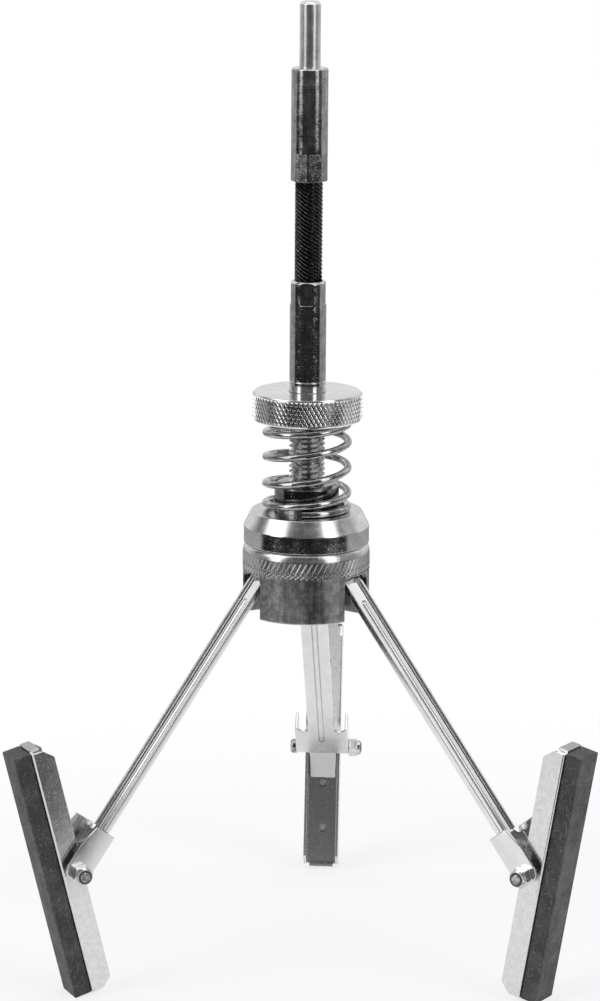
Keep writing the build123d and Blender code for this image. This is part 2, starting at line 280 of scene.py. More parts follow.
class Finish:
    # one material, or the world, and the one way its nodes are made
    def __init__(self, name, world=False):
        self.block = bpy.data.worlds.new(name) if world else bpy.data.materials.new(name)
        self.block.use_nodes = True
        self.tree = self.block.node_tree
        self.tree.nodes.clear()
        self.coordinates = None

    def node(self, kind, settings=None, inputs=None, out=0):
        made = self.tree.nodes.new(kind)
        for key, value in (settings or {}).items():
            setattr(made, key, value)
        for key, value in (inputs or {}).items():
            if isinstance(value, Wire):
                self.tree.links.new(value.socket, made.inputs[key])
            else:
                made.inputs[key].default_value = value
        if not made.outputs:
            return None
        return Wire(self, made.outputs[out])

    def place(self, scale=None):
        if self.coordinates is None:
            self.coordinates = self.node("ShaderNodeTexCoord", out="Object")
        if scale is None:
            return self.coordinates
        return self.node("ShaderNodeMapping", None, {"Vector": self.coordinates, "Scale": scale})

    def noise(self, scale=1.0, detail=2.0, roughness=0.5, stretch=None):
        return self.node("ShaderNodeTexNoise", None, {"Vector": self.place(stretch), "Scale": scale,
                                                      "Detail": detail, "Roughness": roughness})

    def axes(self, vector):
        parts = self.node("ShaderNodeSeparateXYZ", None, {0: vector})
        return [Wire(self, socket) for socket in parts.socket.node.outputs]

    def blended(self, colour, level, share):
        # a colour that goes to a grey level, by a share from 0 to 1
        return self.node("ShaderNodeMix", {"data_type": "RGBA"},
                         {0: share, 6: colour, 7: (level, level, level, 1)}, out=2)

    def grey(self, dark, light, share):
        return self.blended((dark, dark, dark, 1), light, share)

    def bump(self, height, depth, under=None):
        inputs = {"Height": height, "Distance": depth * mm}
        if under is not None:
            inputs["Normal"] = under
        return self.node("ShaderNodeBump", None, inputs)

    def surface(self, inputs):
        made = self.node("ShaderNodeBsdfPrincipled", None, inputs)
        self.node("ShaderNodeOutputMaterial", None, {"Surface": made})
        return self.block


# Finishes. In a look, dark and light are the greys of its clouds, and specks, streaks and the painted shade
# have a level and a share each. Clouds, specks, dimples, streaks and rings are scales of noise, and depths
# are in mm

speckEdge = 0.08    # how far the noise rises across the edge of a speck
ringShine = 0.1    # how much the turning marks differ in roughness


def metalFinish(name, look):
    finish = Finish(name)
    cloud = finish.noise(look["cloud"], detail=5.0, roughness=0.62).between(low=0.36, high=0.66)
    speck = finish.noise(look["speck"], detail=3.0, roughness=0.6)
    speck = speck.between(look["speckFrom"], look["speckFrom"] + speckEdge)
    colour = finish.grey(look["dark"], look["light"], cloud)
    colour = finish.blended(colour, look["speckLevel"], speck * look["speckShare"])
    if "streaks" in look:
        streak = finish.noise(detail=3.0, roughness=0.6, stretch=look["streaks"])
        streak = streak.between(low=0.40, high=0.66)
        colour = finish.blended(colour, look["streakLevel"], streak * look["streakShare"])
    # painted shade: the colour is darkened towards the bottom of the piece, fading out upwards between two
    # heights
    if "paintedShade" in look:
        height = finish.axes(finish.place())[2]
        low, high = look["paintedShade"]
        shadedShare = height.between(low * mm, high * mm, start=look["paintedShadeShare"], end=0.0)
        colour = finish.blended(colour, look["paintedShadeLevel"], shadedShare)
    rough = look["rough"] + look["roughSpread"] * cloud
    rough = (rough + speck * look["speckRough"]).upTo(1.0)
    normal = finish.bump(finish.noise(look["dimple"]), look["dimpleDepth"])
    if "rings" in look:
        line = finish.noise(roughness=0.7, stretch=look["rings"])
        normal = finish.bump(line, look["ringDepth"], under=normal)
        rough = rough + (line - 0.5) * ringShine
    return finish.surface({"Base Color": colour, "Metallic": 1.0, "Roughness": rough, "Normal": normal})


satinSteel = {"dark": 0.62, "light": 0.80, "cloud": 220, "speck": 1500, "speckFrom": 0.66,
              "speckLevel": 0.40, "speckShare": 0.6, "rough": 0.28, "roughSpread": 0.05, "speckRough": 0.1,
              "dimple": 900, "dimpleDepth": 0.004, "rings": (30, 30, 9000), "ringDepth": 0.004}
sleeveSteel = {"dark": 0.46, "light": 0.70, "cloud": 300, "speck": 900, "speckFrom": 0.57,
               "speckLevel": 0.26, "speckShare": 0.7, "rough": 0.08, "roughSpread": 0.05,
               "speckRough": 0.20, "dimple": 500, "dimpleDepth": 0.004, "rings": (60, 60, 3000),
               "ringDepth": 0.003, "streaks": (900, 900, 90), "streakLevel": 0.26, "streakShare": 0.45}
crimpSteel = dict(sleeveSteel, dark=0.36, light=0.52, speckShare=0.4, rough=0.10)
platedSteel = {"dark": 0.70, "light": 0.86, "cloud": 180, "speck": 1200, "speckFrom": 0.64,
               "speckLevel": 0.5, "speckShare": 0.5, "rough": 0.15, "roughSpread": 0.05,
               "speckRough": 0.15, "dimple": 600, "dimpleDepth": 0.004}
nutKnurlSteel = dict(platedSteel, dark=0.72, light=0.88, rough=0.16)
threadSteel = dict(platedSteel, dark=0.56, light=0.68, cloud=300, rough=0.19, speckShare=0.2,
                   dimpleDepth=0.002)
hubKnurlSteel = dict(platedSteel, dark=0.38, light=0.52, rough=0.33)
lockNutSteel = dict(platedSteel, dark=0.56, light=0.78, rough=0.09, dimpleDepth=0.003)
boltSteel = dict(platedSteel, dark=0.20, light=0.56, cloud=700, rough=0.14, dimpleDepth=0.008)
armChrome = {"dark": 0.72, "light": 0.82, "cloud": 90, "speck": 1100, "speckFrom": 0.68,
             "speckLevel": 0.5, "speckShare": 0.4, "rough": 0.11, "roughSpread": 0.04,
             "speckRough": 0.1, "dimple": 250, "dimpleDepth": 0.0015}
armInner = dict(armChrome, light=0.80, rough=0.27)
# the bends and the tongue: a darker grey as painted shade, and a higher roughness
armBend = dict(armChrome, dark=0.53, light=0.60, cloud=60, rough=0.28, speckShare=0.1)
springChrome = dict(armChrome, dark=0.28, light=0.48, cloud=300, rough=0.08, dimple=500,
                    dimpleDepth=0.002)
capSteel = {"dark": 0.62, "light": 0.78, "cloud": 200, "speck": 1300, "speckFrom": 0.62,
            "speckLevel": 0.95, "speckShare": 0.5, "rough": 0.13, "roughSpread": 0.05,
            "speckRough": 0.17, "dimple": 700, "dimpleDepth": 0.004, "rings": (40, 40, 5000),
            "ringDepth": 0.003}
bevelSteel = dict(capSteel, rough=0.21, speckLevel=0.6, speckShare=0.4)
bushChrome = dict(capSteel, dark=0.20, light=0.32, speckShare=0.3, rough=0.10)
hubSteel = {"dark": 0.26, "light": 0.42, "cloud": 420, "speck": 1000, "speckFrom": 0.60,
            "speckLevel": 0.60, "speckShare": 0.5, "rough": 0.30, "roughSpread": 0.06, "speckRough": 0.1,
            "dimple": 600, "dimpleDepth": 0.006, "rings": (1500, 1500, 40), "ringDepth": 0.006,
            "streaks": (1300, 1300, 60), "streakLevel": 0.18, "streakShare": 0.5}
hubTopSteel = dict(hubSteel, dark=0.54, light=0.66, rough=0.20, roughSpread=0.05, streakShare=0.1)
holderSteel = {"dark": 0.68, "light": 0.76, "cloud": 500, "speck": 1300, "speckFrom": 0.60,
               "speckLevel": 0.40, "speckShare": 0.45, "rough": 0.19, "roughSpread": 0.015,
               "speckRough": 0.12, "dimple": 1500, "dimpleDepth": 0.005}
# the inner floor is darkened towards the bottom as painted shade, which fades out between two heights,
# upwards
holderInside = dict(holderSteel, paintedShade=(-304, -290), paintedShadeLevel=0.40, paintedShadeShare=0.75)


def stoneFinish(name, dark, light):
    finish = Finish(name)
    patch = finish.noise(120, detail=4.0, roughness=0.6).between(low=0.35, high=0.7)
    fleck = finish.noise(1300).between(low=0.60, high=0.68)
    scratch = finish.noise(stretch=(1500, 1500, 120)).between(low=0.64, high=0.72)
    colour = finish.grey(dark, light, patch)
    colour = finish.blended(colour, level=0.24, share=fleck * 0.55)
    colour = finish.blended(colour, level=0.28, share=scratch * 0.3)
    normal = finish.bump(finish.noise(2600, roughness=0.7), depth=0.05)
    normal = finish.bump(finish.noise(500, detail=3.0, roughness=0.6), depth=0.06, under=normal)
    rough = finish.noise(900).between(low=0.3, high=0.7, start=0.62, end=0.9)
    return finish.surface({"Base Color": colour, "Roughness": rough, "Specular IOR Level": 0.35,
                           "Normal": normal})


def windingFinish():
    finish = Finish("blackWinding")
    wear = finish.noise(900, detail=3.0, roughness=0.6).between(low=0.45, high=0.70)
    rough = finish.noise(700).between(low=0.3, high=0.7, start=0.11, end=0.18)
    normal = finish.bump(finish.noise(1500), depth=0.003)
    colour = finish.grey(dark=0.06, light=0.20, share=wear)
    return finish.surface({"Base Color": colour, "Metallic": 1.0, "Roughness": rough, "Normal": normal})


def adhesiveFinish():
    finish = Finish("driedAdhesive")
    patch = finish.noise(700, detail=4.0, roughness=0.6).between(low=0.35, high=0.7)
    rough = patch.between(low=0.0, high=1.0, start=0.35, end=0.6)
    normal = finish.bump(finish.noise(900, detail=3.0), depth=0.08)
    colour = finish.grey(dark=0.30, light=0.48, share=patch)
    return finish.surface({"Base Color": colour, "Roughness": rough, "Specular IOR Level": 0.5,
                           "Normal": normal})


def nylonFinish():
    finish = Finish("darkNylon")
    patch = finish.noise(800, detail=3.0, roughness=0.6)
    rough = patch.between(low=0.3, high=0.7, start=0.35, end=0.5)
    colour = finish.grey(dark=0.03, light=0.07, share=patch)
    normal = finish.bump(patch, depth=0.01)
    return finish.surface({"Base Color": colour, "Roughness": rough, "Normal": normal})


looks = {"satin": satinSteel, "sleeve": sleeveSteel, "crimp": crimpSteel, "plated": platedSteel,
         "nutKnurl": nutKnurlSteel, "thread": threadSteel, "hubKnurl": hubKnurlSteel,
         "lockNut": lockNutSteel, "bolt": boltSteel, "arm": armChrome, "armInner": armInner,
         "armBend": armBend, "spring": springChrome, "cap": capSteel, "bevel": bevelSteel,
         "bush": bushChrome, "hub": hubSteel, "hubTop": hubTopSteel, "holder": holderSteel,
         "holderInside": holderInside}
finishes = {name: metalFinish(name + "Metal", look) for name, look in looks.items()}
finishes["stone"] = stoneFinish("abrasiveStone", dark=0.042, light=0.082)
# a lighter stone for the working face and the ends, partly worn and partly painted light
finishes["stoneGround"] = stoneFinish("wornAndLitStone", dark=0.075, light=0.13)
finishes["winding"] = windingFinish()
finishes["adhesive"] = adhesiveFinish()
finishes["nylon"] = nylonFinish()
print("finishes made")


# Drive shank

shank = {"edge": 0.12, "sharp": 14, "sleeveTop": 0.5, "crimpTop": -32.5, "panelArea": 8, "upright": 0.2}


def onCrimp(middle, facing):
    return middle.z < shank["crimpTop"] * mm and abs(facing.z) < shank["upright"]


piece = dressed("drive_shank", "driveShank", shank["edge"], shank["sharp"])
finished(piece, finishes["sleeve"], "shank", "drive_shank")
repainted(piece, finishes["satin"], lambda middle, facing: middle.z > shank["sleeveTop"] * mm)
# the area leaves out the rounded lines between the pressed panels
repainted(piece, finishes["crimp"], onCrimp, leastArea=shank["panelArea"] * mm * mm)
print("shank made")


# Spindle: the sleeve end of the solid, cut off below the sleeve, and a threaded rod under it

spindle = {"edge": 0.12, "sharp": 14, "sleeveBottom": -124.4, "overlap": 0.6, "top": -126.0,
           "bottom": -210.2, "crest": 6.95, "root": 5.72, "pitch": 2.0, "flat": 0.25, "steps": 48,
           "spareTurns": 3}

sleeveEnd = dressed("spindle", "spindleSleeve", spindle["edge"], spindle["sharp"])
cutAcross(sleeveEnd, spindle["sleeveBottom"] - spindle["overlap"], 1)
finished(sleeveEnd, finishes["sleeve"], "spindle", "spindle")


def threadedRod():
    # one pitch of the thread's outline is screwed along the axis, too far at both ends, and cut to length
    pitch, flat, deep = spindle["pitch"], spindle["flat"], spindle["crest"] - spindle["root"]
    slope = (pitch - 2 * flat) / 2
    rod = startPoint("threadedRod", spindle["root"], spindle["bottom"] - pitch)
    for across, along in ((0, flat), (deep, slope), (0, flat), (-deep, slope)):
        drawOut(across, along)
    bpy.ops.object.mode_set(mode="OBJECT")
    turns = int((spindle["top"] - spindle["bottom"]) / pitch) + spindle["spareTurns"]
    modify(rod, "SCREW", angle=2 * pi, screw_offset=pitch * mm, iterations=turns, steps=spindle["steps"],
           render_steps=spindle["steps"], use_merge_vertices=True, merge_threshold=weld)
    merged(rod)
    cutAcross(rod, spindle["top"], -1)
    cutAcross(rod, spindle["bottom"], 1)
    merged(rod)
    smooth(rod, angle=40)
    return rod


finished(threadedRod(), finishes["thread"], "spindle", "spindle")
print("spindle made")


# Flexible shaft: a winding of strands round a core

flex = {"top": -43.0, "bottom": -81.4, "grip": 3.0, "strands": 12, "strand": 1.25, "lead": 18.5,
        "centre": 4.725, "sides": 8, "stepsPerLead": 40, "core": 4.05, "coreGrip": 17.5, "coreRings": 36,
        "coreSides": 32}


def strandMesh():
    # one strand, a circle of wire drawn up its helix, is copied round
    rise = flex["top"] - flex["bottom"] + 2 * flex["grip"]
    leadAngle = atan(flex["lead"] / (2 * pi * flex["centre"]))
    deselectAll()
    start = (flex["centre"] * mm, 0, (flex["bottom"] - flex["grip"]) * mm)
    bpy.ops.mesh.primitive_circle_add(vertices=flex["sides"], radius=flex["strand"] / 2 * mm,
                                      fill_type="NOTHING", location=start,
                                      rotation=(pi / 2 + leadAngle, 0, 0))
    strand = justAdded("flexWinding")
    turns = rise / flex["lead"]
    steps = round(flex["stepsPerLead"] * turns)
    modify(strand, "SCREW", angle=-2 * pi * turns, screw_offset=rise * mm, iterations=1, steps=steps,
           render_steps=steps)
    edit(strand)
    bpy.ops.mesh.select_all(action="DESELECT")
    bpy.ops.mesh.select_non_manifold()
    bpy.ops.mesh.edge_face_add()
    bpy.ops.object.mode_set(mode="OBJECT")
    merged(strand)
    strands = [strand]
    for i in range(1, flex["strands"]):
        other = strand.copy()
        other.data = strand.data.copy()
        other.data.transform(Matrix.Rotation(2 * pi * i / flex["strands"], 4, "Z"))
        bpy.context.scene.collection.objects.link(other)
        strands.append(other)
    joined(strands, "flexWinding")
    smooth(strand, angle=60)
    return strand


winding = strandMesh()
finished(winding, finishes["winding"], None, "flex_winding")
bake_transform(winding)

coreTop, coreBottom = flex["top"] + flex["coreGrip"], flex["bottom"] - flex["coreGrip"]
coreSteps = flex["coreRings"]
coreRings = [(flex["core"], coreTop + (coreBottom - coreTop) * i / coreSteps) for i in range(coreSteps + 1)]
core = turned("flexCore", [(0, coreTop), *coreRings, (0, coreBottom)], flex["coreSides"])
smooth(core)
finished(core, finishes["winding"], None, "flex_core")
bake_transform(core)
print("flexible shaft made")


# Tension nut

nut = {"radius": 21.35, "top": -124.5, "bottom": -135.5, "edge": 0.8, "bore": 7.0, "rim": 0.5,
       "rimDrop": 0.05, "sinkTop": 0.45, "sinkFoot": 0.5, "round": 0.1, "overlap": 0.1}
nutKnurl = {"teeth": 74, "rows": 3, "deep": 0.60, "tip": 0.42, "run": 0.08, "wall": 1.0}
# for both knurls. A line that rises by more than upright stands along the axis. Heights closer than near
# are the same, and so are radii closer than loose. A tip lies above the share tipFrom of a tooth's height,
# a line that slopes by lean parts its corners, and they climb by climb for each mm that they run round
knurl = {"near": 0.01, "upright": 0.5, "loose": 0.05, "tipFrom": 0.6, "lean": 0.6, "climb": 1.75}


def knurledBand(name, radius, top, bottom, kind):
    # a lattice of diamonds, each raised to a flat-topped pyramid, on a closed ring. The tops are drawn
    # out along one diagonal, so that the ridges run on that way
    teeth, deep, run = kind["teeth"], kind["deep"], kind["run"]
    near = knurl["near"] * mm
    base = radius - deep
    rim = [top * mm, bottom * mm]
    deselectAll()
    bpy.ops.mesh.primitive_cylinder_add(vertices=teeth, radius=base * mm, depth=(top - bottom) * mm,
                                        end_fill_type="NOTHING", location=(0, 0, (top + bottom) / 2 * mm))
    band = justAdded(name)
    mesh = band.data
    pick(band, "EDGE", lambda middle, along: abs(along.z) > knurl["upright"] * mm)
    bpy.ops.mesh.subdivide(number_cuts=kind["rows"] - 1)
    bpy.ops.object.mode_set(mode="OBJECT")
    corners = {tuple(round(x / mm, 3) for x in corner.co) for corner in mesh.vertices}
    edit(band, "FACE")
    bpy.ops.mesh.poke()
    # the squares' own sides are dissolved, which leaves the diamonds between them
    edit(band, "EDGE", "DESELECT")
    bpy.ops.object.mode_set(mode="OBJECT")
    for line in mesh.edges:
        a, b = (mesh.vertices[i].co for i in line.vertices)
        known = all(tuple(round(x / mm, 3) for x in end) in corners for end in (a, b))
        onRim = any(abs(a.z - z) < near and abs(b.z - z) < near for z in rim)
        line.select = known and not onRim
    bpy.ops.object.mode_set(mode="EDIT")
    bpy.ops.mesh.dissolve_edges(use_verts=False)
    bpy.ops.mesh.select_all(action="SELECT")
    bpy.ops.mesh.normals_make_consistent(inside=False)
    bpy.ops.mesh.inset(thickness=kind["tip"] * mm, depth=deep * mm, use_individual=True)
    bpy.ops.object.mode_set(mode="OBJECT")
    for way in (1, -1):
        ahead = set()
        for face in mesh.polygons:
            lowest = min(mesh.vertices[i].co.xy.length for i in face.vertices)
            if lowest > (base + deep * knurl["tipFrom"]) * mm:
                middle = face.center
                for i in face.vertices:
                    corner = mesh.vertices[i].co
                    reach = middle.xy.angle_signed(corner.xy) * -radius * mm
                    if (reach * abs(run) / run - (corner.z - middle.z) * knurl["lean"]) * way > 0:
                        ahead.add(i)
        pickCorners(band, ahead)
        bpy.ops.transform.rotate(value=-way * run / radius, orient_axis="Z", center_override=(0, 0, 0))
        bpy.ops.transform.translate(value=(0, 0, -way * abs(run) * knurl["climb"] * mm))
        bpy.ops.object.mode_set(mode="OBJECT")
    # the open rims are drawn inwards and joined by an inner wall
    inside = base * mm * cos(pi / teeth)
    pick(band, "EDGE", lambda middle, along: any(abs(middle.z - z) < near for z in rim)
         and abs(along.z) < near and abs(middle.xy.length - inside) < knurl["loose"] * mm)
    bpy.ops.mesh.extrude_edges_move()
    shrink = (base - kind["wall"]) / base
    bpy.ops.transform.resize(value=(shrink, shrink, 1), center_override=(0, 0, 0))
    bpy.ops.mesh.bridge_edge_loops()
    merged(band)
    smooth(band, angle=20)
    return band


def nutBody():
    edge, top, bottom = nut["edge"], nut["top"], nut["bottom"]
    bore, shoulder = nut["bore"], nut["radius"] - nut["edge"]
    piece = turned("tensionNut", [
        (bore + edge, top), (shoulder - nut["rim"], top), (shoulder, top - nut["rimDrop"]),
        (nut["radius"] - nut["sinkTop"], top - edge), (nut["radius"] - nut["sinkFoot"], bottom + edge),
        (shoulder, bottom), (bore + edge, bottom), (bore, bottom + edge), (bore, top - edge),
        (bore + edge, top)])
    rounded(piece, nut["round"])
    return piece


finished(nutBody(), finishes["plated"], "nut", "tension_nut")
piece = knurledBand("nutKnurl", nut["radius"], nut["top"] - nut["edge"] + nut["overlap"],
                    nut["bottom"] + nut["edge"] - nut["overlap"], nutKnurl)
finished(piece, finishes["nutKnurl"], "nut", "tension_nut")
print("nut made")


# Tension spring, in two pieces: the foot, which is given no body, and the rest, which rides with the
# spindle

spring = {"radius": 15.85, "wire": 2.9, "turns": 4.69, "closedLow": 0.59, "closedHigh": 0.45,
          "start": 268.0, "low": -169.9, "rise": 32.9, "ease": 0.2, "lean": 0.74, "split": -158.4,
          "capTop": -171.4, "stepsPerTurn": 48, "fewestSteps": 8, "sides": 20, "nutDown": 12.0,
          "nutSeat": -135.5}


def springPoint(turn):
    # the middle of the wire, so many turns from its lower end
    openTurns = spring["turns"] - spring["closedLow"] - spring["closedHigh"]
    share = min(max((turn - spring["closedLow"]) / openTurns, 0), 1)
    angle = radians(spring["start"]) + 2 * pi * turn
    height = spring["low"] + spring["rise"] * (share - sin(2 * pi * share) / (2 * pi) * spring["ease"])
    height += spring["lean"] * cos(angle) * sin(pi * share)
    return spring["radius"] * cos(angle) * mm, spring["radius"] * sin(angle) * mm, height * mm


def turnAt(height, tries=40):
    # halves the range of turns until it holds only the one that passes the height
    low, high = 0.0, spring["turns"]
    for attempt in range(tries):
        middle = (low + high) / 2
        if springPoint(middle)[2] < height * mm:
            low = middle
        else:
            high = middle
    return low


def springPart(name, first, last):
    # the wire follows a curve, which is then made a mesh
    steps = max(spring["fewestSteps"], round((last - first) * spring["stepsPerTurn"]))
    curve = bpy.data.curves.new(name, "CURVE")
    curve.dimensions = "3D"
    line = curve.splines.new("POLY")
    line.points.add(steps)
    for i in range(steps + 1):
        line.points[i].co = (*springPoint(first + (last - first) * i / steps), 1)
    curve.bevel_depth = spring["wire"] / 2 * mm
    curve.bevel_resolution = (spring["sides"] - 4) // 2
    curve.use_fill_caps = True
    part = bpy.data.objects.new(name, curve)
    bpy.context.scene.collection.objects.link(part)
    activate(part)
    bpy.ops.object.convert(target="MESH")
    part = bpy.context.object
    part.data.name = name
    merged(part)
    smooth(part, angle=50)
    return part


splitTurn = turnAt(spring["split"])
lower = springPart("springLower", 0.0, splitTurn)
finished(lower, finishes["spring"], None, "tension_spring")
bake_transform(lower)
upper = springPart("springUpper", splitTurn, spring["turns"])
finished(upper, finishes["spring"], "spindle", "tension_spring")
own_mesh(upper)
print("spring made")


# Pressure cap and guide bush

cap = {"radius": 24.3, "top": -171.4, "topRadius": 21.45, "shoulder": -177.2, "bottom": -183.9, "neck": 9.0,
       "plunger": 15.4, "sides": 128, "round": 0.25, "sharp": 15, "bevelFrom": 0.2}
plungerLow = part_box("pressure_cap")[0].z / mm


def capBody():
    neck, plunger, top, bottom = cap["neck"], cap["plunger"], cap["top"], cap["bottom"]
    piece = turned("pressureCap", [
        (neck, top), (cap["topRadius"], top), (cap["radius"], cap["shoulder"]), (cap["radius"], bottom),
        (plunger, bottom), (plunger, plungerLow), (neck, plungerLow), (neck, top)], cap["sides"])
    rounded(piece, cap["round"], cap["sharp"], segments=3)
    return piece


bush = {"radius": 12.5, "top": -160.4, "edge": 1.2, "bore": 7.05, "neck": 8.98, "round": 0.15}


def bushBody():
    bore, radius, edge, neck, top = bush["bore"], bush["radius"], bush["edge"], bush["neck"], bush["top"]
    piece = turned("guideBush", [
        (bore, top), (radius - edge, top), (radius, top - edge), (radius, cap["top"]), (neck, cap["top"]),
        (neck, plungerLow), (bore, plungerLow), (bore, top)])
    rounded(piece, bush["round"])
    return piece


def onBevel(middle, facing):
    return middle.z > (cap["shoulder"] + cap["bevelFrom"]) * mm


piece = finished(capBody(), finishes["cap"], "cap", "pressure_cap")
repainted(piece, finishes["bevel"], onBevel)
finished(bushBody(), finishes["bush"], "cap", "guide_bush")
print("cap and bush made")


# Hub: its solid, with the fillet at its top drawn out, and a band of ridges over a row of diamonds

hub = {"radius": 24.6, "top": -184.2, "filletBottom": -186.05, "filletIn": 1.85, "filletStretch": 1.9,
       "round": 0.28, "skin": 2.0, "underBand": 0.5, "footHigh": 0.4, "footFacing": (-0.9, -0.2),
       "bandTop": -187.5, "bandMiddle": -191.2, "bandBottom": -194.2, "teeth": 74, "proud": 0.16,
       "sink": 0.12, "sweep": 4.5, "ridgePoints": 3, "ridgeSteps": 4, "ridgeInner": 0.985}
hubDiamonds = {"teeth": hub["teeth"], "rows": 1, "deep": hub["proud"] + hub["sink"], "tip": 0.5,
               "run": -0.15, "wall": 0.6}
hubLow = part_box("hub")[0].z


def onFillet(spot, facing):
    return spot.z > hub["filletBottom"] * mm and spot.xy.length > (hub["radius"] - hub["filletIn"]) * mm


def polished(middle, facing):
    # the outside from the band's foot upwards, and the rounded edge at the bottom
    lowest, highest = hub["footFacing"]
    outer = middle.xy.length > (hub["radius"] - hub["skin"]) * mm
    footEdge = middle.z < hubLow + hub["footHigh"] * mm and lowest < facing.z < highest
    return outer and (footEdge or middle.z > hub["bandBottom"] * mm - hub["underBand"] * mm)


def hubBody():
    piece = copied("hub", "hubBody")
    pick(piece, "VERT", onFillet)
    bpy.ops.transform.resize(value=(1, 1, hub["filletStretch"]), center_override=(0, 0, hub["top"] * mm))
    bpy.ops.object.mode_set(mode="OBJECT")
    rounded(piece, hub["round"])
    return piece


def hubRidges():
    # slanting ridges round the hub: a ring of points, one out and the others in for each ridge, is drawn
    # down while it turns
    outside, steps = hub["radius"] + hub["proud"], hub["ridgeSteps"]
    points = hub["ridgePoints"] * hub["teeth"]
    drop = (hub["bandMiddle"] - hub["bandTop"]) / steps * mm
    deselectAll()
    bpy.ops.mesh.primitive_circle_add(vertices=points, radius=outside * mm, fill_type="NOTHING",
                                      location=(0, 0, hub["bandTop"] * mm))
    band = justAdded("hubRidges")
    pickCorners(band, [i for i in range(points) if i % hub["ridgePoints"] != 0])
    shrink = (hub["radius"] - hub["sink"]) / outside
    bpy.ops.transform.resize(value=(shrink, shrink, 1), center_override=(0, 0, 0))
    bpy.ops.mesh.select_all(action="SELECT")
    for step in range(steps):
        bpy.ops.mesh.extrude_region_move(TRANSFORM_OT_translate={"value": (0, 0, drop)})
        bpy.ops.transform.rotate(value=radians(hub["sweep"]) / steps, orient_axis="Z",
                                 center_override=(0, 0, 0))
    bpy.ops.mesh.select_all(action="DESELECT")
    bpy.ops.mesh.select_non_manifold()
    bpy.ops.mesh.extrude_edges_move()
    bpy.ops.transform.resize(value=(hub["ridgeInner"], hub["ridgeInner"], 1), center_override=(0, 0, 0))
    bpy.ops.mesh.bridge_edge_loops()
    merged(band)
    smooth(band, angle=20)
    return band


piece = finished(hubBody(), finishes["hub"], "spindle", "hub")
repainted(piece, finishes["hubTop"], polished)
finished(hubRidges(), finishes["hubKnurl"], "spindle", "hub")
piece = knurledBand("hubDiamonds", hub["radius"] + hub["proud"], hub["bandMiddle"], hub["bandBottom"],
                    hubDiamonds)
finished(piece, finishes["hubKnurl"], "spindle", "hub")
print("hub made")


# The three legs. Each stands at its own angle round the axis, is spread by its own angle, and has its lock
# nut on one side or the other

stands = {"rear": (90.0, 38.5, -1), "left": (210.0, 35.7, 1), "right": (330.0, 39.6, -1)}
# the last four are directions in the arm's own frame, whose x points outwards and z up along the arm
arm = {"pinRadius": 17.4, "pinHeight": -188.1, "length": 141.3, "stopAngle": 49.6, "bend": -140.0,
       "bendNear": 0.5, "round": 0.30, "sharp": 35, "inward": -0.6, "tongueUp": 0.2, "outward": 0.97,
       "sideways": 0.93}


def armPlace(leg):
    azimuth, spread = stands[leg][:2]
    return (Matrix.Rotation(radians(azimuth), 4, "Z")
            @ Matrix.Translation((arm["pinRadius"] * mm, 0, arm["pinHeight"] * mm))
            @ Matrix.Rotation(radians(-spread), 4, "Y"))


def holderPlace(leg, turnedOver=False):
    azimuth, spread, side = stands[leg]
    reach = arm["pinRadius"] + arm["length"] * sin(radians(spread))
    drop = arm["pinHeight"] - arm["length"] * cos(radians(spread))
    place = (Matrix.Rotation(radians(azimuth), 4, "Z") @ Matrix.Translation((reach * mm, 0, drop * mm))
             @ Matrix.Rotation(radians(arm["stopAngle"] - spread), 4, "Y"))
    return place @ Matrix.Rotation(pi, 4, "X") if turnedOver and side < 0 else place


def pressedArm(leg):
    intoArm = armPlace(leg).inverted()
    piece = copied(f"arm_{leg}", f"pressedArm_{leg}")
    rounded(piece, arm["round"], arm["sharp"], segments=3,
            crease=lambda middle, along: abs((intoArm @ middle).z / mm - arm["bend"]) < arm["bendNear"])
    return piece


def insideArm(middle, facing):
    return facing.x < arm["inward"]


def shadedOnArm(middle, facing):
    # the tongue, and the small bends between the flat faces, which get a darker steel as painted shade, and
    # a rougher one
    if insideArm(middle, facing):
        return facing.z > arm["tongueUp"]
    return facing.x < arm["outward"] and max(abs(facing.y), abs(facing.z)) < arm["sideways"]


bolt = {"round": 0.45}
lockNut = {"collar": 15.7}
ring = {"inner": 2.02, "outer": 2.75, "proud": 0.12, "edge": 0.12, "sides": 40}


def nylonRing(leg):
    # the dark ring in the end of a lock nut
    inner, outer, proud, edge = ring["inner"], ring["outer"], ring["proud"], ring["edge"]
    piece = turned(f"nylonRing_{leg}", [
        (inner, 0), (outer, 0), (outer, proud / 2), (outer - edge, proud), (inner + edge, proud),
        (inner, proud / 2), (inner, 0)], ring["sides"])
    onNut = Matrix.Translation((0, lockNut["collar"] * mm, 0)) @ Matrix.Rotation(-pi / 2, 4, "X")
    piece.data.transform(holderPlace(leg, turnedOver=True) @ onNut)
    smooth(piece, angle=50)
    return piece


holder = {"floor": 4.8, "back": 6.0, "middle": 0.6, "holes": (-35.4, -16.0, 16.0, 35.4), "floorNear": 0.3,
          "inward": -0.9}
# the dome is in shares of the radius, and in mm above or below the holder's floor
dab = {"radius": 1.9, "dome": ((0, 0.10), (0.35, 0.04), (0.62, -0.10), (0.82, -0.32), (0.94, -0.62)),
       "skirt": 0.05, "sides": 24}


def onChannelFloor(middle, facing):
    return abs(middle.x - holder["floor"] * mm) < holder["floorNear"] * mm and facing.x < holder["inward"]


